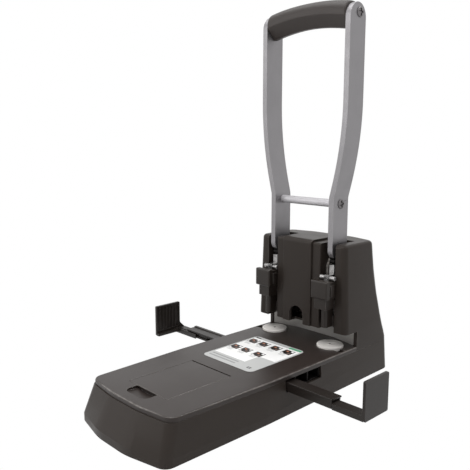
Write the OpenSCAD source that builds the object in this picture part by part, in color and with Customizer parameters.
/* [Base] */
// Distance between the two punch axes
hole_pitch = 80; // [78:0.5:82]
// Disc line to the toe of the base
front_reach = 248; // [244:1:262]
// Disc line to the foot of the rear wall
rear_reach = 84.6; // [83:0.2:90]
// Height of the table top above the desk
table_h = 39.5; // [39:0.5:42]
// Thickness of the table cover
cover_t = 4.7; // [4.4:0.1:5]
// Half width of the base at its waist
base_half_w = 65.8; // [65:0.2:68]
// Half width of the base at its toe
toe_half_w = 64; // [63:0.2:65.4]
// Half width of the table at its widest
table_half_w = 63.2; // [62.8:0.1:64]
// Half width of the table at its front corners
table_front_half_w = 59.4; // [58.6:0.2:61]
// How far the table stops behind the toe
toe_lean = 14; // [12:0.5:16]
// Bow of the toe, corner to middle
toe_bow = 9.6; // [8.5:0.1:11]
// Bow of the table's front edge
table_bow = 5; // [4:0.2:6]
// Radius of the base's front corners
front_corner_r = 10; // [8:0.5:12]
// Wall of the base and the tower
wall_t = 2.6; // [2.2:0.1:3]
// Thickness of the plate under the base
base_plate_t = 2.4; // [2:0.1:3]
// Radius of the rubber feet
foot_r = 7.5; // [6:0.5:9]
// Height of the rubber feet
foot_h = 2; // [1.6:0.1:2.4]

/* [Tower] */
// Height of the tower's shell
tower_h = 150; // [148:1:154]
// Half width of the tower at its foot
tower_half_w = 62.6; // [62:0.1:63]
// Rear corner of the tower's top, behind the disc line
tower_top_back = 49.4; // [48:0.2:52]
// Front of the two wings, ahead of the disc line
wing_front = 3.9; // [3.4:0.1:4]
// Underside of the wings above the desk
wing_z = 56; // [54:0.5:57]
// Front of the throat posts, behind the disc line
post_y = 17; // [16.4:0.1:17.6]
// Rear bow of the tower's top
tower_bow = 7.6; // [6:0.2:9]
// Rounding of the tower's rear corners
tower_corner_r = 10; // [8:0.5:12]
// Rounding of the wings' front corners
wing_corner_r = 6; // [5:0.5:7]
// Rounding of the tower's top edge
tower_edge_r = 4; // [3:0.25:5]
// Half width of the centre column
column_half_w = 30.3; // [29.8:0.1:30.6]
// Front of the centre column, ahead of the disc line
column_front = 7.7; // [7:0.1:8.4]
// Underside of the centre column above the desk
column_z = 58; // [57:0.5:59]
// Width of each arm slot
slot_w = 16.7; // [16.4:0.1:17]
// Rear end of the arm slots, behind the disc line
slot_back = 30; // [29.6:0.2:32]
// Half width of the centre cover
centre_half_w = 19.6; // [18:0.2:21]
// Thickness of the centre cover
centre_cover_t = 2.3; // [2:0.1:2.8]
// Rear end of the centre cover, behind the disc line
centre_cover_back = 38; // [32:1:42]
// Width of the sight arch
arch_w = 19.2; // [16:0.2:22]
// Height of the sight arch
arch_h = 19; // [16:0.5:22]

/* [Paper] */
// Distance between the inner faces of the two guide plates
sheet_w = 294.6; // [290:0.2:300]
// Thickness of the two guide plates
guide_plate_t = 3; // [2.6:0.1:4]
// Height of the guide plates
guide_plate_h = 35.8; // [32:0.2:38]
// Length of the guide plates, front to rear
guide_plate_l = 35; // [32:0.5:38]
// Diameter of the punching discs
disc_d = 28.5; // [27:0.5:30]
// Thickness of the punching discs
disc_t = 4.2; // [4:0.1:4.4]
// Width of the rails
rail_w = 15; // [14:0.5:15.5]
// Height of the rails
rail_h = 8.8; // [8.6:0.1:9.2]
// Length of the rails
rail_l = 124; // [116:1:126]
// Wall of the rails
rail_wall = 1.3; // [1.1:0.1:1.5]
// Outer end of the right rail from the middle
right_rail_end = 115.4; // [112:0.2:118]
// Outer end of the left rail from the middle
left_rail_end = 128; // [124:0.2:130]
// Front edge of the right rail, ahead of the disc line
right_rail_front = 96; // [95:0.5:98]
// Front edge of the left rail, ahead of the disc line
left_rail_front = 60; // [59:0.5:62]

/* [Lever] */
// Pivot height above the desk
pivot_z = 122; // [121.6:0.1:122.4]
// Pivot place behind the disc line
pivot_y = 17.8; // [17.6:0.1:18]
// Radius of the pivot shaft
shaft_r = 5; // [4.6:0.1:5.2]
// Thickness of the lever arms
arm_t = 6.1; // [5.6:0.1:6.4]
// Front edge of the arms, ahead of the disc line
arm_front = 4.4; // [4.2:0.1:4.6]
// Width of the arms, front to rear
arm_w = 25.3; // [24.8:0.1:25.6]
// Height of the arms' tips above the desk
arm_top = 389; // [380:1:400]
// Height where the arms start to spread
arm_kink = 198; // [196:1:204]
// Height where the arms run upright again
arm_straight = 298; // [290:1:310]
// How far each arm spreads
arm_spread = 14.7; // [12:0.1:17]
// Height of the crossbar
crossbar_z = 191; // [186:0.5:192]
// Radius of the crossbar
crossbar_r = 4.25; // [3.8:0.05:4.8]
// Depth of the grip's section
grip_d = 26; // [24:0.5:28]
// Height of the grip's section
grip_h = 26.6; // [24:0.2:28]
// Height of the grip's middle above the desk
grip_z = 382.6; // [372:0.2:384]
// Radius of the grip's arch
grip_arch_r = 246; // [220:2:280]

/* [Punch] */
// Punch axis behind the disc line
punch_y = 5; // [4.8:0.1:5.2]
// Outer radius of the hollow punch
punch_r = 3; // [2.8:0.05:3.1]
// Stroke of the punch
stroke = 17.5; // [17.4:0.05:17.6]
// Lowest point of the punch at rest, above the desk
punch_z = 59.3; // [59.2:0.05:59.6]
// Width of the holder's cap
cap_w = 21; // [19:0.5:22]
// Front of the holder's cap, ahead of the disc line
cap_front = 22; // [20:0.5:24]
// Thickness of the holder's cap
cap_t = 6; // [5:0.25:7]
// Height of the top of the holder's cap
cap_top = 113.7; // [112.4:0.1:114]
// Height of the holder's cap
cap_h = 19.2; // [17:0.2:20]

/* [Hidden] */

// One overrun serves every cut
over = 1;
// Face to face distance kept between pieces that move past each other
gap = 0.35;
// Radial clearance of a running fit
fit = 0.05;
// Steps in each rounded corner of an outline
corner_steps = 5;
$fn = 48;

// Colours
plastic_col = [0.25, 0.24, 0.23];
table_col = [0.34, 0.33, 0.32];
grip_col = [0.2, 0.19, 0.18];
steel_col = [0.62, 0.62, 0.64];
bright_col = [0.8, 0.8, 0.82];
dark_steel_col = [0.36, 0.36, 0.38];
black_col = [0.1, 0.1, 0.1];
disc_col = [0.72, 0.72, 0.71];
label_col = [0.9, 0.9, 0.9];

// The whole part stands with the middle of its footprint on the origin
mid_y = (rear_reach - front_reach) / 2;
axis_x = hole_pitch / 2;

// Base
foot_proud = 0.8;
base_z = foot_proud;
toe_h = 8;
lip_step = 0.5;
toe_ledge = 0.9;
cover_z = table_h - cover_t;
cover_edge_r = 1.5;
waist_y = -0.5 * front_reach;
base_bow = 5;
rear_knee_share = 0.45;
front_knee_share = 0.32;
// Rear line: height as a share of the tower, then reach as a share from top to foot
rear_line_shares = [[0, 1], [0.16, 0.907], [0.26, 0.851], [0.31, 0.755], [0.36, 0.645],
    [0.413, 0.55], [0.46, 0.478], [0.51, 0.414], [0.56, 0.342], [0.607, 0.278], [0.65, 0.232],
    [0.7, 0.185], [0.75, 0.136], [0.793, 0.097], [0.84, 0.07], [0.88, 0.046], [0.93, 0.02],
    [0.967, 0], [1, 0]];
tower_lean = 0.043;
boss_r = 3.6;
base_screw_r = 1.5;
base_screw_head_r = 3;
base_screw_head_h = 1.4;
base_screw_l = 14;
boss_x = table_front_half_w - 2.4 * boss_r;
boss_y_shares = [-0.86, -0.56, 0.275];

// Table cover
table_rear = post_y - gap;
tongue_half_w = 56.8;
tongue_back = 27;
disc_seat_z = table_h - 2.5;
disc_play = 0.4;
disc_stub_r = 3;
disc_stub_l = 2;
disc_dimple_r = 1.6;
disc_dimple_d = 0.5;
disc_edge_r = 0.6;
lift_w = 9.5;
lift_l = 7.5;
lift_front = 9.5;
lift_floor = 2.9;

// Storage bin and its lid
lid_half_w = 28;
lid_t = 2.4;
lid_front = 209;
hinge_y = -136.2;
lid_pin_r = 0.8;
knuckle_r = 1.6;
hinge_z = table_h - knuckle_r;
slot_room = 2.3;
ledge_w = 2.5;
ledge_z = table_h - lid_t - gap;
lid_pin_hold = 2.6;
scoop_half_w = 14.8;
scoop_front = 223.4;
scoop_corner_r = 6;
scoop_d = 4.1;
scoop_wall = 1;
bin_wall = 1.6;
bin_floor_z = 9;
bin_margin = 1.2;

// Label
label_half_w = 35;
label_front = 116;
label_back = 34.5;
label_t = 0.25;
label_corner_r = 6;

// Rails and guides
guide_z = 23.4;
rail_z = guide_z + 0.6;
rail_play = 0.4;
rail_runner_play = 0.3;
track_wall = 1.8;
ridge_w = 3.4;
ridge_h = 0.9;
lip_y = 1.6;
lip_h = 0.9;
mouth_h = 2.2;
notch_w = 1.5;
notch_pitch = 3.2;
notch_margin = 4;
guide_bar_end = 95;
guide_strip_end = 112;
guide_top = 29;
guide_arm_w = 11.6;
guide_lift = 1.9;
guide_back_reach = 5;
guide_edge_r = 1.4;
guide_foot_h = 3;
guide_foot_w = 3.6;
guide_foot_rise = 12;
rim_w = 1.8;
rim_t = 0.8;
rib_w = 1.2;
rib_pitch = 4.6;
rib_count = 6;
guide_hole_r = 0.8;
guide_hole_y = 4.4;

// Tower
floor_t = 2.4;
column_wall = 2.4;
column_edge_r = 2.5;
cover_side_r = 0.9;
wing_wall = 2.4;
post_lip_w = 4.6;
post_lip_t = 4;
stop_t = 1.6;
stop_front_y = 18;
stop_mid_y = 24.6;
stop_half_w = 57.4;
stop_mid_half_w = 25;
stop_tab_top = 104;
shell_bore_play = 0.6;

// Frames, shaft and rods
frame_t = 2.4;
frame_head_r = 15;
frame_back_y = 54;
frame_front_y = 2.8;
frame_low_z = 62;
frame_leg_y = 30.4;
frame_shoulder_share = 0.62;
frame_neck_y = 40;
rod_r = 3;
rod_low_z = 18;
rod_high_z = 86;
rod_y = 42;
rod_nut_r = 5.4;
rod_nut_t = 3;
circlip_t = 1.2;
circlip_r = 7.4;
circlip_groove = 0.6;

// Arms
slot_x = column_half_w + slot_w;
eye_r = 10.2;
bush_r = 7;
lobe_r = 3;
lobe_radius = 17.5;
lobe_angle = 30;
lobe_y = pivot_y - lobe_radius * cos(lobe_angle);
lobe_z = pivot_z + lobe_radius * sin(lobe_angle);
drive_pin_r = 2.2;
drive_pin_proud = 0.6;
arm_steps = 14;
arm_back = arm_w - arm_front;
arm_mid_y = (arm_back - arm_front) / 2;
arm_x = axis_x;
arm_top_x = arm_x + arm_spread;
kink_blend = 3;
tip_round_h = 14;
tip_steps = 16;
screw_shank_r = 2.2;
screw_depth = 12;
screw_head_h = 1.4;
screw_head_r = 5;
screw_recess_r = 2.4;
screw_recess_d = 1;
grip_hole_z = 379.6;
grip_hole_y = 10.8;
grip_rod_r = 4;
grip_stations = 16;
grip_sides = 20;
grip_square_share = 0.72;

// Carriage
push_play = 0.4;
push_t = 6;
push_front = -0.5;
push_back = 6.5;
push_top = lobe_z - lobe_r - push_play;
push_foot_h = 5.8;
cross_pin_r = 2.3;
cross_pin_y = -6.7;
cross_pin_in = 9.2;
cross_pin_out = 9.5;
holder_half_w = 8.6;
holder_low_half_w = 7.4;
holder_low_h = 11.5;
holder_low_z = cap_top - cap_h - holder_low_h;
holder_top = cap_top - 1.7;
holder_back = wing_front + 0.7;
holder_low_front = 19;
neck_half_w = 6.4;
neck_back = 11.5;
neck_low = 92;
neck_top = 108;
channel_half_w = 5.2;
tongue_w = 7.4;
tongue_front = 13;
guide_low_z = 62;
guide_block_top = 74;
guide_tongue_top = 83;
guide_back = 12;
guide_block_front = 2;
channel_top = guide_tongue_top + stroke + 0.7;
tab_w = 1.4;
tab_h = 12;
tab_l = 5;
tab_drop = 3.2;
cap_edge_r = 1.8;
punch_bore_r = 2.1;
punch_top = neck_top - 3.4;
spring_wire_r = 0.5;
spring_coil_r = 4.1;
spring_turns = 5;
spring_rings = 8;
spring_sides = 6;

// Geometry helpers
function unit(v) = v / norm(v);
function mix(a, b, s) = a + (b - a) * s;

// Points of an arc that rounds the corner q between p and r
function corner(p, q, r, rad) =
    let (a = unit(p - q),
         b = unit(r - q),
         half = acos(a * b) / 2,
         mid = q + unit(a + b) * rad / sin(half),
         start = q + a * rad / tan(half) - mid,
         stop = q + b * rad / tan(half) - mid,
         a0 = atan2(start[1], start[0]),
         turn = (atan2(stop[1], stop[0]) - a0 + 540) % 360 - 180)
    [for (i = [0:corner_steps])
        mid + rad * [cos(a0 + turn * i / corner_steps), sin(a0 + turn * i / corner_steps)]];

// An outline with each corner rounded by its own radius
function rounded(points, radii) =
    let (n = len(points))
    [for (i = [0:n - 1])
        each radii[i] > 0
            ? corner(points[(i + n - 1) % n], points[i], points[(i + 1) % n], radii[i])
            : [points[i]]];

// A rectangle with rounded corners, given by its low and high corner
function soft_box(low, high, r) =
    rounded([low, [high[0], low[1]], high, [low[0], high[1]]], [r, r, r, r]);

// The right half of an outline, followed by its mirror image
function both_sides(half) =
    concat(half, [for (i = [len(half) - 1:-1:0]) [-half[i][0], half[i][1]]]);

function both_radii(half) = concat(half, [for (i = [len(half) - 1:-1:0]) half[i]]);

function ring(outline, z) = [for (p = outline) [p[0], p[1], z]];

// A solid skinned over rings that all have as many points
module loft(rings) {
    n = len(rings[0]);
    m = len(rings);
    sides = [for (i = [0:m - 2]) for (j = [0:n - 1])
        let (k = (j + 1) % n)
        each [[i * n + j, (i + 1) * n + j, (i + 1) * n + k],
              [i * n + j, (i + 1) * n + k, i * n + k]]];
    polyhedron(
        points = [for (r = rings) each r],
        faces = concat([[for (j = [0:n - 1]) j]], sides, [[for (j = [n - 1:-1:0]) (m - 1) * n + j]]),
        convexity = 8);
}

// A block given by its low and high corner
module block(low, high) {
    translate(low) cube(high - low);
}

// An outline in Y and Z, carried along X from x0 to x1
module side_slab(outline, x0, x1) {
    translate([x0, 0, 0]) rotate([90, 0, 90]) linear_extrude(x1 - x0) polygon(outline);
}

// A round bar along X
module x_bar(r, x0, x1, y, z) {
    translate([x0, y, z]) rotate([0, 90, 0]) cylinder(r = r, h = x1 - x0);
}

// A round bar along Z
module z_bar(r, z0, z1, x, y) {
    translate([x, y, z0]) cylinder(r = r, h = z1 - z0);
}

module stand() {
    translate([0, -mid_y, 0]) children();
}

module both() {
    children();
    mirror([1, 0, 0]) children();
}

module on_side(side) {
    if (side < 0) mirror([1, 0, 0]) children();
    else children();
}

// Rear wall line
function rear_at(z) = mix(tower_top_back, rear_reach - base_bow, lookup(z / tower_h, rear_line_shares));
function rear_bow_at(z) = mix(base_bow, tower_bow, z / tower_h);
function tower_half_at(z) = tower_half_w - tower_lean * max(0, z - column_z);

// Half outline of the rear corner and the bowed rear edge
function rear_half(w, z, inset) =
    [[w - inset, rear_at(z) - inset],
     [w * rear_knee_share, rear_at(z) + rear_bow_at(z) - inset]];

// Base outline with a bowed toe, a waist and the rear wall's bow
function base_plan(front_w, waist_w, front_y, bow, z, inset) =
    rounded(
        both_sides(concat(
            [[front_w * front_knee_share, front_y + inset],
             [front_w - inset, front_y + bow + inset],
             [waist_w - inset, waist_y]],
            rear_half(tower_half_w, z, inset))),
        both_radii([8 * front_corner_r, front_corner_r - inset, 40 * front_corner_r,
            tower_corner_r - inset, 4 * tower_corner_r]));

function base_ring(z, inset) =
    z <= toe_h
        ? base_plan(toe_half_w, base_half_w, -front_reach, toe_bow, z, inset)
        : let (s = (z - toe_h) / (cover_z - toe_h))
          base_plan(
              mix(toe_half_w, table_front_half_w + toe_ledge / 2, s),
              mix(base_half_w, table_half_w - lip_step, s),
              mix(-front_reach, toe_lean - front_reach - toe_ledge, s),
              mix(toe_bow, table_bow, s), z, inset);

// Table outline, cut straight at the tower
function table_plan(inset) =
    rounded(
        both_sides([
            [table_front_half_w * front_knee_share, toe_lean - front_reach + inset],
            [table_front_half_w - inset, toe_lean - front_reach + table_bow + inset],
            [table_half_w - inset, waist_y],
            [tower_half_w - inset, table_rear]]),
        both_radii([8 * front_corner_r, front_corner_r - inset, 40 * front_corner_r, 0]));

// Tower outline at one height
function tower_plan(z, inset) =
    rounded(
        both_sides(concat(
            [[tower_half_at(z) - inset, -wing_front + inset]],
            rear_half(tower_half_at(z), z, inset))),
        both_radii([wing_corner_r - inset, tower_corner_r - inset, 4 * tower_corner_r]));

function tunnel_front() = -right_rail_front - 2 * rail_play;
function tunnel_back() = -left_rail_front + rail_w + 2 * rail_play;

module rail_tunnel(reach) {
    block([-reach, tunnel_front(), guide_z - rail_play], [reach, tunnel_back(), cover_z + over]);
}

module boss_places() {
    for (share = boss_y_shares)
        both() translate([boss_x, share * front_reach, 0]) children();
}

// The base's outer form, drawn in by an inset
module base_solid(inset) {
    heights = [base_z, toe_h, (toe_h + cover_z) / 2, cover_z];
    loft([for (z = heights) ring(base_ring(z, inset), z)]);
}

module base_shell() {
    color(plastic_col) stand() {
        difference() {
            base_solid(0);
            loft([
                ring(base_ring(base_z, wall_t), base_z - over),
                ring(base_ring(toe_h, wall_t), toe_h),
                ring(base_ring((toe_h + cover_z) / 2, wall_t), (toe_h + cover_z) / 2),
                ring(base_ring(cover_z, wall_t), cover_z + over)]);
            rail_tunnel(2 * base_half_w);
        }
        intersection() {
            base_solid(wall_t / 2);
            boss_places() translate([0, 0, base_z + base_plate_t]) screw_boss();
        }
    }
}

// Boss for a base screw, tied to the side wall by a rib
module screw_boss() {
    difference() {
        union() {
            cylinder(r = boss_r, h = cover_z - base_z - base_plate_t);
            translate([0, -boss_r / 2, 0])
                cube([base_half_w - boss_x, boss_r, cover_z - base_z - base_plate_t]);
        }
        translate([0, 0, -over]) cylinder(r = base_screw_r, h = base_screw_l);
    }
}

module base_plate() {
    color(dark_steel_col) stand() difference() {
        translate([0, 0, base_z])
            linear_extrude(base_plate_t) polygon(base_ring(base_z, wall_t + gap));
        foot_places() cylinder(r = foot_r, h = foot_h);
        boss_places() translate([0, 0, base_z - over]) cylinder(r = base_screw_r, h = base_plate_t + 2 * over);
        boss_places() translate([0, 0, base_z - over]) cylinder(r = base_screw_head_r, h = base_screw_head_h + over);
    }
}

module foot_places() {
    for (y = [6 * foot_r - front_reach, rear_reach - 4 * foot_r])
        both() translate([boss_x - 2 * foot_r, y, 0]) children();
}

module rubber_feet() {
    color(black_col) stand() foot_places() cylinder(r = foot_r, h = foot_h);
}

module base_screws() {
    color(steel_col) stand() boss_places() translate([0, 0, base_z]) {
        difference() {
            cylinder(r = base_screw_head_r, h = base_screw_head_h);
            translate([0, 0, -over]) cylinder(r = base_screw_r, h = over + base_screw_head_h / 2, $fn = 6);
        }
        translate([0, 0, base_screw_head_h]) cylinder(r = base_screw_r, h = base_screw_l - base_screw_head_h - over);
    }
}

module table_cover() {
    color(table_col) stand() difference() {
        union() {
            loft([
                ring(table_plan(0), cover_z),
                ring(table_plan(0), table_h - cover_edge_r),
                ring(table_plan(cover_edge_r * (1 - cos(45))), table_h - cover_edge_r * (1 - sin(45))),
                ring(table_plan(cover_edge_r), table_h)]);
            block([-tongue_half_w, table_rear - over, cover_z], [tongue_half_w, tongue_back, table_h]);
        }
        both() translate([axis_x, 0, 0]) {
            z_bar(disc_d / 2 + disc_play, disc_seat_z, table_h + over, 0, 0);
            z_bar(disc_stub_r + fit, cover_z - over, table_h, 0, 0);
        }
        both() block(
            [table_half_w - lift_w - 2 * cover_edge_r + gap, -lift_front, table_h - lift_floor],
            [table_half_w - cover_edge_r - gap, lift_l - lift_front, table_h + over]);
        block([-lid_half_w - gap, -lid_front - gap, ledge_z],
              [lid_half_w + gap, hinge_y + slot_room, table_h + over]);
        block([ledge_w - lid_half_w, ledge_w - lid_front, cover_z - over],
              [lid_half_w - ledge_w, hinge_y - knuckle_r - gap, table_h]);
        x_bar(knuckle_r + gap, -lid_half_w - gap, lid_half_w + gap, hinge_y, hinge_z);
        x_bar(lid_pin_r, -lid_half_w - lid_pin_hold, lid_half_w + lid_pin_hold, hinge_y, hinge_z);
        finger_scoop();
    }
}

// Pocket with a hollowed floor, deepest at the lid's front edge
module finger_scoop() {
    reach = scoop_half_w * sqrt(2);
    dip = scoop_d - scoop_wall;
    ball_r = (reach * reach + dip * dip) / (2 * dip);
    intersection() {
        translate([0, 0, table_h - scoop_d]) linear_extrude(scoop_d + over) polygon(rounded(
            [[-scoop_half_w, -scoop_front], [scoop_half_w, -scoop_front],
             [scoop_half_w, -lid_front + over], [-scoop_half_w, -lid_front + over]],
            [scoop_corner_r, scoop_corner_r, 0, 0]));
        translate([0, -lid_front, table_h - scoop_d + ball_r]) sphere(r = ball_r, $fn = 96);
    }
}

module storage_bin() {
    color(plastic_col) stand() difference() {
        block([-lid_half_w + bin_margin, -lid_front + bin_margin, bin_floor_z],
              [lid_half_w - bin_margin, hinge_y, cover_z]);
        block([-lid_half_w + bin_margin + bin_wall, -lid_front + bin_margin + bin_wall, bin_floor_z + bin_wall],
              [lid_half_w - bin_margin - bin_wall, hinge_y - bin_wall, cover_z + over]);
    }
}

module storage_lid() {
    color(table_col) stand() difference() {
        union() {
            block([-lid_half_w, -lid_front, table_h - lid_t], [lid_half_w, hinge_y, table_h]);
            x_bar(knuckle_r, -lid_half_w, lid_half_w, hinge_y, hinge_z);
        }
        x_bar(lid_pin_r + fit, -lid_half_w - over, lid_half_w + over, hinge_y, hinge_z);
    }
}

module lid_hinge_pin() {
    color(steel_col) stand()
        x_bar(lid_pin_r, -lid_half_w - lid_pin_hold, lid_half_w + lid_pin_hold, hinge_y, hinge_z);
}

module instruction_label() {
    color(label_col) stand() translate([0, 0, table_h]) linear_extrude(label_t)
        polygon(soft_box([-label_half_w, -label_front], [label_half_w, -label_back], label_corner_r));
}

module disc(side) {
    color(disc_col) stand() translate([side * axis_x, 0, disc_seat_z + gap]) difference() {
        union() {
            rotate_extrude() polygon([
                [0, 0],
                [disc_d / 2, 0],
                [disc_d / 2, disc_t - disc_edge_r],
                [disc_d / 2 - disc_edge_r, disc_t],
                [0, disc_t]]);
            translate([0, 0, -disc_stub_l]) cylinder(r = disc_stub_r, h = disc_stub_l + over);
        }
        translate([0, 0, disc_t - disc_dimple_d]) cylinder(r = disc_dimple_r, h = disc_dimple_d + over);
    }
}

module left_disc() {
    disc(-1);
}

module right_disc() {
    disc(1);
}

// Cradle that carries both rails through the base, with a runner under each
module rail_track() {
    front = tunnel_front() + rail_play;
    back = tunnel_back() - rail_play;
    floor_z = guide_z - rail_play;
    half = tower_half_w - wall_t;
    color(plastic_col) stand() {
        block([-half, front - track_wall, floor_z - track_wall], [half, back + track_wall, floor_z]);
        for (y = [front - track_wall, -right_rail_front + rail_w + rail_play,
                  -left_rail_front - rail_play - track_wall, back])
            block([-half, y, floor_z - over], [half, y + track_wall, cover_z]);
        for (y = [-right_rail_front, -left_rail_front])
            block([-half, y + 2 * lip_y, floor_z - over], [half, y + rail_w - lip_y, rail_z - rail_runner_play]);
    }
}

// One rail, drawn on the right with its front edge on y = 0: a channel with a notched front mouth and
// a ridge over its web
module rail(end) {
    start = end - rail_l;
    top = rail_z + rail_h;
    flange_z = top - ridge_h - rail_wall;
    mouth_z = rail_z + rail_wall + lip_h;
    difference() {
        union() {
            block([start, 0, flange_z], [end, rail_w, flange_z + rail_wall]);
            block([start, rail_w - ridge_w, flange_z], [end, rail_w, top]);
            block([start, rail_w - rail_wall, rail_z], [end, rail_w, top]);
            block([start, lip_y, rail_z], [end, rail_w, rail_z + rail_wall]);
            block([start, lip_y, rail_z], [end, lip_y + rail_wall, mouth_z]);
            block([start, lip_y, mouth_z + mouth_h], [end, lip_y + rail_wall, flange_z + rail_wall]);
        }
        for (x = [start + notch_margin:notch_pitch:end - notch_margin])
            block([x, 0, rail_z + rail_wall], [x + notch_w, lip_y + rail_wall + over / 4, flange_z]);
    }
}

// Arm that hooks over the lips of a front mouth: a strip ahead of them, a neck and a bar in the channel
module hook_arm() {
    end = sheet_w / 2 + rim_t;
    bar_y = lip_y + rail_wall + gap;
    neck_z = rail_z + rail_wall + lip_h + gap;
    block([guide_strip_end, 0, guide_z], [end, lip_y - gap, guide_top]);
    block([guide_strip_end, 0, neck_z], [end, bar_y + over, neck_z + mouth_h - 2 * gap]);
    block([guide_bar_end, bar_y, rail_z + rail_wall + gap], [end, guide_arm_w, guide_top]);
}

// Arm with a bar in the channel and a shoulder at the rail's end
module shouldered_arm(rail_end) {
    end = sheet_w / 2 + rim_t;
    block([guide_bar_end, rail_wall + gap, rail_z + rail_wall + gap], [end, guide_arm_w, guide_top]);
    block([rail_end + gap, 0, guide_z], [end, guide_arm_w, guide_top]);
}

// Upright plate of a guide: a rimmed and ribbed inner face on a foot flange
module guide_plate(plate_front, lift) {
    x0 = sheet_w / 2;
    low = guide_z + lift;
    high = low + guide_plate_h;
    outline = guide_outline(plate_front, lift);
    side_slab(outline, x0 + rim_t, x0 + guide_plate_t);
    difference() {
        side_slab(outline, x0, x0 + rim_t + over / 2);
        block([x0 - over, plate_front + rim_w, low + guide_foot_rise / 2],
              [x0 + rim_t, plate_front + guide_plate_l - rim_w, high - rim_w]);
    }
    block([x0 - guide_foot_w, plate_front, low],
          [x0 + over, max(guide_arm_w, plate_front + rim_w), low + guide_foot_h]);
    for (i = [1:rib_count])
        block([x0, plate_front + i * rib_pitch, low + guide_foot_h],
              [x0 + rim_t + over / 2, plate_front + i * rib_pitch + rib_w, high - rim_w / 2]);
}

module guide_hole() {
    z_bar(guide_hole_r, guide_z + guide_foot_h / 2, guide_top + guide_lift + over,
          (sheet_w - guide_foot_w) / 2, guide_hole_y);
}

// Outline of a guide plate in Y and Z; a lifted plate comes down to the arm in a flared foot
function guide_outline(front, lift) =
    let (back = front + guide_plate_l,
         low = guide_z + lift,
         high = low + guide_plate_h,
         r = guide_edge_r)
    lift > 0
        ? rounded(
            [[front, low], [-2 * guide_back_reach, low], [0, guide_z], [guide_arm_w, guide_z],
             [guide_arm_w, guide_top], [back, guide_z + guide_foot_rise], [back, high], [front, high]],
            [r, 4 * r, 4 * r, 0, 0, 2 * r, r, r])
        : rounded(
            [[front, low], [back, low], [back, high], [front, high]],
            [r, r, r, r]);

// The right rail has its web and ridge in front, the left one its notched mouth
module right_rail() {
    color(plastic_col) stand() translate([0, rail_w - right_rail_front, 0]) mirror([0, 1, 0])
        rail(right_rail_end);
}

module left_rail() {
    color(plastic_col) stand() mirror([1, 0, 0]) translate([0, -left_rail_front, 0]) rail(left_rail_end);
}

module right_guide() {
    color(plastic_col) stand() translate([0, -right_rail_front, 0]) difference() {
        union() {
            shouldered_arm(right_rail_end);
            guide_plate(0, 0);
        }
        guide_hole();
    }
}

module left_guide() {
    color(plastic_col) stand() mirror([1, 0, 0]) translate([0, -left_rail_front, 0]) difference() {
        union() {
            hook_arm();
            guide_plate(guide_back_reach - guide_plate_l, guide_lift);
        }
        guide_hole();
    }
}

// Heights of the rings that shape the tower
tower_ring_shares = [0.31, 0.36, 0.413, 0.46, 0.51, 0.56, 0.607, 0.65, 0.7, 0.75, 0.793, 0.84, 0.88, 0.93];

function tower_rings() =
    concat(
        [ring(tower_plan(cover_z, 0), cover_z), ring(tower_plan(table_h, 0), table_h)],
        [for (share = tower_ring_shares) ring(tower_plan(share * tower_h, 0), share * tower_h)],
        [for (a = [0:22.5:90])
            let (z = tower_h - tower_edge_r * (1 - sin(a)))
            ring(tower_plan(z, tower_edge_r * (1 - cos(a))), z)]);

function tower_void_rings() =
    concat(
        [ring(tower_plan(cover_z, wall_t), cover_z - over)],
        [for (share = tower_ring_shares) ring(tower_plan(share * tower_h, wall_t), share * tower_h)],
        [ring(tower_plan(tower_h, wall_t), tower_h - wall_t)]);

module column_solid(grow) {
    intersection() {
        side_slab(
            rounded(
                [[-column_front, column_z], [slot_back, column_z], [slot_back, tower_h], [-column_front, tower_h]],
                [0, 0, 0, column_edge_r]),
            -column_half_w, column_half_w);
        translate([0, 0, column_z - over]) linear_extrude(tower_h) polygon(
            rounded(
                [[-column_half_w, -column_front], [column_half_w, -column_front],
                 [column_half_w, slot_back + over], [-column_half_w, slot_back + over]],
                [column_edge_r / 2, column_edge_r / 2, 0, 0]));
    }
}

module sight_arch() {
    translate([0, over, column_z + arch_h - arch_w / 2]) rotate([90, 0, 0])
        cylinder(r = arch_w / 2, h = column_front + centre_cover_t + 3 * over);
    block([-arch_w / 2, -column_front - centre_cover_t - 2 * over, column_z - over],
          [arch_w / 2, over, column_z + arch_h - arch_w / 2]);
}

module tower_shell() {
    color(plastic_col) stand() difference() {
        union() {
            difference() {
                loft(tower_rings());
                difference() {
                    loft(tower_void_rings());
                    block([-tower_half_w, -wing_front - over, 0], [tower_half_w, post_y, wing_z + floor_t]);
                }
            }
            both() block([slot_x, wing_corner_r - wing_front - wall_t - over, wing_z], [slot_x + wing_wall, slot_back, tower_h - wall_t / 2]);
            both() block([tower_half_w - post_lip_w, post_y, cover_z], [tower_half_w - wall_t / 2, post_y + post_lip_t, wing_z + over]);
            column_solid();
        }
        block([-base_half_w, -cap_front, 0], [base_half_w, post_y, wing_z]);
        block([-column_half_w - over, -cap_front, 0], [column_half_w + over, post_y, column_z]);
        both() block([column_half_w, -cap_front, wing_z - over], [slot_x, slot_back, tower_h + over]);
        block([column_wall - column_half_w, column_wall - column_front, column_z + floor_t],
              [column_half_w - column_wall, slot_back + over, tower_h - wall_t]);
        block([column_wall - column_half_w, stop_front_y, cover_z],
              [column_half_w - column_wall, slot_back + over, tower_h - wall_t]);
        sight_arch();
        x_bar(shaft_r + shell_bore_play, -tower_half_w + 2 * wall_t, tower_half_w - 2 * wall_t, pivot_y, pivot_z);
    }
}

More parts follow.
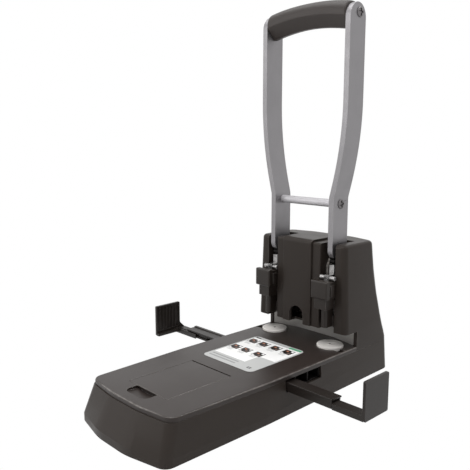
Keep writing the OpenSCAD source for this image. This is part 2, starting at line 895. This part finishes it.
module centre_cover() {
    top = tower_h + centre_cover_t;
    front = column_front + centre_cover_t;
    outer = rounded(
        [[-front, column_z], [centre_cover_back, column_z], [centre_cover_back, top], [-front, top]],
        [0, 0, centre_cover_t / 2, column_edge_r + centre_cover_t]);
    inner = rounded(
        [[-column_front, 0], [front_reach, 0], [front_reach, tower_h], [-column_front, tower_h]],
        [0, 0, 0, column_edge_r]);
    color(plastic_col) stand() difference() {
        intersection() {
            side_slab(outer, -centre_half_w, centre_half_w);
            translate([0, 0, column_z - over]) linear_extrude(tower_h) polygon(
                soft_box([-centre_half_w, -front], [centre_half_w, centre_cover_back + over], cover_side_r));
        }
        side_slab(inner, -centre_half_w - over, centre_half_w + over);
        sight_arch();
    }
}

// Bent steel plate that the paper stops against, with a tab standing in each arm slot
module back_stop_plate() {
    strip = [[-stop_half_w, stop_front_y], [-stop_mid_half_w, stop_mid_y],
             [stop_mid_half_w, stop_mid_y], [stop_half_w, stop_front_y],
             [stop_half_w, stop_front_y + stop_t], [stop_mid_half_w, stop_mid_y + stop_t],
             [-stop_mid_half_w, stop_mid_y + stop_t], [-stop_half_w, stop_front_y + stop_t]];
    lane_in = column_half_w + frame_t + gap;
    lane_out = slot_x - gap;
    color(steel_col) stand() {
        translate([0, 0, table_h]) linear_extrude(wing_z - table_h - gap) polygon(strip);
        intersection() {
            translate([0, 0, table_h]) linear_extrude(stop_tab_top - table_h) polygon(strip);
            both() block([lane_in, 0, table_h], [lane_out, slot_back, stop_tab_top]);
        }
    }
}

// Side frame outline in Y and Z: a foot behind the throat and a head round the pivot
module frame_outline() {
    polygon([
        [frame_leg_y, base_z + base_plate_t],
        [frame_back_y, base_z + base_plate_t],
        [frame_back_y, frame_shoulder_share * pivot_z],
        [frame_neck_y, pivot_z],
        [pivot_y + frame_head_r * cos(45), pivot_z + frame_head_r * sin(45)],
        [pivot_y, pivot_z],
        [pivot_y - frame_head_r, pivot_z],
        [frame_front_y, frame_low_z],
        [frame_leg_y, frame_low_z]]);
    translate([pivot_y, pivot_z]) circle(r = frame_head_r);
}

module side_frame(side, x0) {
    color(dark_steel_col) stand() on_side(side) difference() {
        translate([x0, 0, 0]) rotate([90, 0, 90]) linear_extrude(frame_t) frame_outline();
        x_bar(shaft_r, x0 - over, x0 + frame_t + over, pivot_y, pivot_z);
        rod_places(x0 - over, x0 + frame_t + over, rod_r);
    }
}

module rod_places(x0, x1, r) {
    for (z = [rod_low_z, rod_high_z])
        x_bar(r, x0, x1, rod_y, z);
}

inner_frame_x = column_half_w;
outer_frame_x = slot_x + wing_wall;

module left_inner_frame() {
    side_frame(-1, inner_frame_x);
}

module right_inner_frame() {
    side_frame(1, inner_frame_x);
}

module left_outer_frame() {
    side_frame(-1, outer_frame_x);
}

module right_outer_frame() {
    side_frame(1, outer_frame_x);
}

module tie_rods() {
    end = outer_frame_x + frame_t;
    color(steel_col) stand() {
        rod_places(-end - rod_nut_t, end + rod_nut_t, rod_r);
        both() for (z = [rod_low_z, rod_high_z])
            translate([end, rod_y, z]) rotate([0, 90, 0]) cylinder(r = rod_nut_r, h = rod_nut_t, $fn = 6);
    }
}

shaft_end = outer_frame_x + frame_t + 2 * circlip_t;

module pivot_shaft() {
    color(steel_col) stand() difference() {
        x_bar(shaft_r, -shaft_end, shaft_end, pivot_y, pivot_z);
        both() difference() {
            x_bar(shaft_r + over, shaft_end - 2 * circlip_t, shaft_end - circlip_t, pivot_y, pivot_z);
            x_bar(shaft_r - circlip_groove, shaft_end - 3 * circlip_t, shaft_end, pivot_y, pivot_z);
        }
    }
}

module shaft_circlips() {
    color(bright_col) stand() both() difference() {
        x_bar(circlip_r, shaft_end - 2 * circlip_t, shaft_end - circlip_t, pivot_y, pivot_z);
        x_bar(shaft_r - circlip_groove, shaft_end - 3 * circlip_t, shaft_end, pivot_y, pivot_z);
        block([shaft_end - 3 * circlip_t, pivot_y, pivot_z - shaft_r / 2],
              [shaft_end, pivot_y + 2 * circlip_r, pivot_z + shaft_r / 2]);
    }
}

// Fixed guide: a block across the slot that the punch runs in, and a slim tongue ahead of it
module punch_guide(side) {
    color(black_col) stand() on_side(side) difference() {
        union() {
            block([column_half_w + frame_t, -guide_block_front, guide_low_z], [slot_x, guide_back, guide_block_top]);
            translate([0, 0, guide_low_z]) linear_extrude(guide_tongue_top - guide_low_z) polygon(
                rounded(
                    [[axis_x - tongue_w / 2, -tongue_front], [axis_x + tongue_w / 2, -tongue_front],
                     [axis_x + tongue_w / 2, 0], [axis_x - tongue_w / 2, 0]],
                    [tongue_w / 3, tongue_w / 3, 0, 0]));
        }
        z_bar(punch_r + fit, guide_low_z - over, guide_tongue_top + over, axis_x, punch_y);
    }
}

module left_punch_guide() {
    punch_guide(-1);
}

module right_punch_guide() {
    punch_guide(1);
}

// Compression spring round the punch, one unbroken tube with flat lying ends
function spring_point(s, z0, z1) =
    let (a = 360 * spring_turns * s,
         flat_share = 0.5 / spring_turns,
         t = min(1, max(0, (s - flat_share) / (1 - 2 * flat_share))))
    [spring_coil_r * cos(a), spring_coil_r * sin(a), mix(z0, z1, t)];

module coil(z0, z1) {
    steps = spring_turns * spring_rings;
    rings = [for (i = [0:steps])
        let (s = i / steps,
             p = spring_point(s, z0, z1),
             a = 360 * spring_turns * s,
             out = [cos(a), sin(a), 0])
        [for (j = [0:spring_sides - 1])
            let (b = -360 * j / spring_sides)
            p + spring_wire_r * (out * cos(b) + [0, 0, sin(b)])]];
    loft(rings);
}

spring_z0 = guide_block_top + spring_wire_r + fit;
spring_z1 = channel_top - spring_wire_r - fit;
spring_steps = spring_turns * spring_rings;
spring_path = [for (i = [0:spring_steps]) spring_point(i / spring_steps, spring_z0, spring_z1)];
// Least gap of the tube to itself, between all points half a turn or more apart
spring_least_gap = min([for (i = [0:spring_steps]) for (j = [0:spring_steps])
    if (j - i >= spring_rings / 2) norm(spring_path[j] - spring_path[i])]) - 2 * spring_wire_r;
echo("least gap of the spring to itself", spring_least_gap);

module spring(side) {
    color(steel_col) stand() on_side(side) translate([axis_x, punch_y, 0]) coil(spring_z0, spring_z1);
}

module left_spring() {
    spring(-1);
}

module right_spring() {
    spring(1);
}

// Outward offset of an arm at one height: none below the kink, then a flattening curve
function arm_offset(z) =
    let (u = min(1, max(0, (z - arm_kink) / (arm_straight - arm_kink))))
    arm_spread * (1 - (1 - u) * (1 - u));

function arm_heights() =
    concat([pivot_z - 2 * eye_r, arm_kink - kink_blend],
        [for (i = [0:arm_steps]) mix(arm_kink, arm_straight, i / arm_steps)],
        [arm_top + over]);

function arm_line(shift) =
    [for (z = arm_heights())
        [arm_x + shift + (z == arm_kink ? arm_offset(z + kink_blend) / 4 : arm_offset(z)), z]];

// Half oval that ends the arm, between its back and front corners
function tip_arc() =
    [for (i = [1:tip_steps - 1])
        let (turn = 180 * i / tip_steps)
        [arm_mid_y + cos(turn) * arm_w / 2, arm_top - tip_round_h * (1 - sin(turn))]];

// Arm outline in Y and Z: eye, drive lobe, straight bar and rounded tip
module arm_outline() {
    polygon(concat(
        tip_arc(),
        rounded(
            [[-arm_front, arm_top - tip_round_h],
             [-arm_front, lobe_z + 3.2 * lobe_r],
             [lobe_y - lobe_r, lobe_z + lobe_r],
             [lobe_y, lobe_z],
             [lobe_y + lobe_r, lobe_z + lobe_r / 4],
             [pivot_y - eye_r + over, pivot_z + eye_r / 2],
             [pivot_y, pivot_z],
             [arm_back, pivot_z],
             [arm_back, arm_top - tip_round_h]],
            [0, 3 * lobe_r, 0, 0, 0, 0, 0, 0, 0])));
    translate([lobe_y, lobe_z]) circle(r = lobe_r);
    translate([pivot_y, pivot_z]) circle(r = eye_r);
}

module arm(side) {
    face = concat(arm_line(-arm_t / 2), [for (i = [len(arm_heights()) - 1:-1:0]) arm_line(arm_t / 2)[i]]);
    far = arm_top_x + arm_t;
    color(bright_col) stand() on_side(side) difference() {
        intersection() {
            translate([0, arm_w * 2, 0]) rotate([90, 0, 0]) linear_extrude(arm_w * 4) polygon(face);
            translate([arm_x - arm_t, 0, 0]) rotate([90, 0, 90]) linear_extrude(far - arm_x + arm_t) arm_outline();
        }
        x_bar(bush_r, 0, far, pivot_y, pivot_z);
        x_bar(drive_pin_r, 0, far, lobe_y, lobe_z);
        x_bar(screw_shank_r, 0, far, arm_mid_y, crossbar_z);
        x_bar(screw_shank_r, 0, far, grip_hole_y, grip_hole_z);
    }
}

module left_arm() {
    arm(-1);
}

module right_arm() {
    arm(1);
}

module arm_bushes() {
    color(dark_steel_col) stand() both() difference() {
        x_bar(bush_r, column_half_w + frame_t + gap, slot_x - gap, pivot_y, pivot_z);
        x_bar(shaft_r + fit, 0, slot_x + over, pivot_y, pivot_z);
    }
}

module drive_pins() {
    color(black_col) stand() both() x_bar(
        drive_pin_r, arm_x - arm_t / 2 - drive_pin_proud, arm_x + arm_t / 2 + drive_pin_proud, lobe_y, lobe_z);
}

// Middle of each arm where the crossbar meets it
function crossbar_arm_x() = arm_x + arm_offset(crossbar_z);

module crossbar() {
    end = crossbar_arm_x() - arm_t / 2;
    color(bright_col) stand() difference() {
        x_bar(crossbar_r, -end, end, arm_mid_y, crossbar_z);
        both() x_bar(screw_shank_r, end - screw_depth, end + over, arm_mid_y, crossbar_z);
    }
}

// A screw along X: its head rests on the outer face at x
module x_screw(x, reach, y, z) {
    difference() {
        union() {
            x_bar(screw_shank_r, x - reach, x, y, z);
            translate([x, y, z]) rotate([0, 90, 0]) rotate_extrude() polygon([
                [0, 0],
                [screw_head_r, 0],
                [screw_head_r, screw_head_h / 2],
                [screw_head_r - screw_head_h / 2, screw_head_h],
                [0, screw_head_h]]);
        }
        translate([x + screw_head_h - screw_recess_d, y, z]) rotate([0, 90, 0])
            cylinder(r = screw_recess_r, h = screw_recess_d + over, $fn = 6);
    }
}

module crossbar_screws() {
    color(steel_col) stand() both()
        x_screw(crossbar_arm_x() + arm_t / 2, arm_t + screw_depth - over, arm_mid_y, crossbar_z);
}

module grip_screws() {
    color(steel_col) stand() both()
        x_screw(arm_top_x + arm_t / 2, arm_t + screw_depth - over, grip_hole_y, grip_hole_z);
}

// Grip section: a soft square that is flattened towards its corners
function grip_section(i) =
    let (a = 360 * i / grip_sides,
         c = cos(a),
         s = sin(a),
         k = pow(pow(abs(c), 2 / grip_square_share) + pow(abs(s), 2 / grip_square_share), -grip_square_share / 2))
    [k * c * grip_d / 2, k * s * grip_h / 2];

module grip() {
    end = arm_top_x - arm_t / 2;
    rings = [for (i = [0:grip_stations])
        let (x = mix(-end, end, i / grip_stations),
             drop = grip_arch_r - sqrt(grip_arch_r * grip_arch_r - x * x))
        [for (j = [0:grip_sides - 1])
            let (p = grip_section(j))
            [x, arm_mid_y + p[0], grip_z - drop + p[1]]]];
    color(grip_col) stand() difference() {
        loft(rings);
        x_bar(grip_rod_r, -end - over, end + over, grip_hole_y, grip_hole_z);
    }
}

module grip_rod() {
    end = arm_top_x - arm_t / 2;
    color(steel_col) stand() difference() {
        x_bar(grip_rod_r, -end, end, grip_hole_y, grip_hole_z);
        both() x_bar(screw_shank_r, end - screw_depth, end + over, grip_hole_y, grip_hole_z);
    }
}

// Sliding holder: a body ahead of the tower and a neck that reaches back to the punch
module holder(side) {
    color(black_col) stand() on_side(side) translate([axis_x, 0, 0]) difference() {
        union() {
            block([-holder_half_w, cap_t - cap_front, cap_top - cap_h], [holder_half_w, -holder_back, holder_top]);
            block([-holder_low_half_w, -holder_low_front, holder_low_z], [holder_low_half_w, -holder_back, cap_top - cap_h + over]);
            block([-neck_half_w, -holder_back - over, neck_low], [neck_half_w, neck_back, neck_top]);
            for (s = [-1, 1])
                block(
                    [s * holder_half_w - tab_w, cap_t - cap_front + tab_l / 2, holder_top - tab_drop - tab_h],
                    [s * holder_half_w + tab_w, cap_t - cap_front + 3 * tab_l / 2, holder_top - tab_drop]);
        }
        block([-channel_half_w, -tongue_front - gap - fit, holder_low_z - over], [channel_half_w, neck_back + over, channel_top]);
        z_bar(punch_r, channel_top - over, punch_top, 0, punch_y);
        z_bar(punch_bore_r, channel_top - over, neck_top + over, 0, punch_y);
    }
}

module left_holder() {
    holder(-1);
}

module right_holder() {
    holder(1);
}

module cap(side) {
    color(black_col) stand() on_side(side) intersection() {
        translate([0, 0, cap_top - cap_h]) linear_extrude(cap_h) polygon(
            rounded(
                [[axis_x - cap_w / 2, -cap_front], [axis_x + cap_w / 2, -cap_front],
                 [axis_x + cap_w / 2, cap_t - cap_front], [axis_x - cap_w / 2, cap_t - cap_front]],
                [cap_edge_r, cap_edge_r, 0, 0]));
        difference() {
            side_slab(
                rounded(
                    [[-cap_front, cap_top - cap_h], [cap_t - cap_front, cap_top - cap_h],
                     [cap_t - cap_front, cap_top], [-cap_front, cap_top]],
                    [cap_edge_r, 0, 0, cap_edge_r]),
                axis_x - cap_w, axis_x + cap_w);
            block([axis_x - holder_low_half_w, -holder_low_front, 0],
                  [axis_x + holder_low_half_w, 0, cap_top - cap_h + over]);
        }
    }
}

module left_cap() {
    cap(-1);
}

module right_cap() {
    cap(1);
}

module push_plate(side) {
    foot_front = cross_pin_y - cross_pin_r - over / 2;
    color(bright_col) stand() on_side(side) difference() {
        side_slab([
            [foot_front, holder_top],
            [-holder_back, holder_top],
            [-holder_back, neck_top],
            [push_back, neck_top],
            [push_back, push_top],
            [push_front, push_top],
            [push_front, holder_top + push_foot_h],
            [foot_front, holder_top + push_foot_h]],
            arm_x - push_t / 2, arm_x + push_t / 2);
        x_bar(cross_pin_r, 0, slot_x + wing_wall, cross_pin_y, holder_top + push_foot_h / 2);
    }
}

module left_push_plate() {
    push_plate(-1);
}

module right_push_plate() {
    push_plate(1);
}

module cross_pin(side) {
    color(bright_col) stand() on_side(side) x_bar(
        cross_pin_r, axis_x - cross_pin_in, axis_x + cross_pin_out, cross_pin_y, holder_top + push_foot_h / 2);
}

module left_cross_pin() {
    cross_pin(-1);
}

module right_cross_pin() {
    cross_pin(1);
}

module punch(side) {
    color(steel_col) stand() on_side(side) translate([axis_x, punch_y, 0]) difference() {
        z_bar(punch_r, punch_z, punch_top, 0, 0);
        z_bar(punch_bore_r, punch_z - over, punch_top + over, 0, 0);
    }
}

module left_punch() {
    punch(-1);
}

module right_punch() {
    punch(1);
}

base_shell();
table_cover();
base_plate();
rubber_feet();
base_screws();
storage_bin();
storage_lid();
lid_hinge_pin();
instruction_label();
left_disc();
right_disc();
rail_track();
left_rail();
left_guide();
right_rail();
right_guide();
tower_shell();
centre_cover();
back_stop_plate();
left_inner_frame();
left_outer_frame();
right_inner_frame();
right_outer_frame();
tie_rods();
pivot_shaft();
shaft_circlips();
left_punch_guide();
right_punch_guide();
left_spring();
right_spring();
left_arm();
right_arm();
arm_bushes();
drive_pins();
crossbar();
crossbar_screws();
grip();
grip_rod();
grip_screws();
left_holder();
left_cap();
left_push_plate();
left_cross_pin();
left_punch();
right_holder();
right_cap();
right_push_plate();
right_cross_pin();
right_punch();
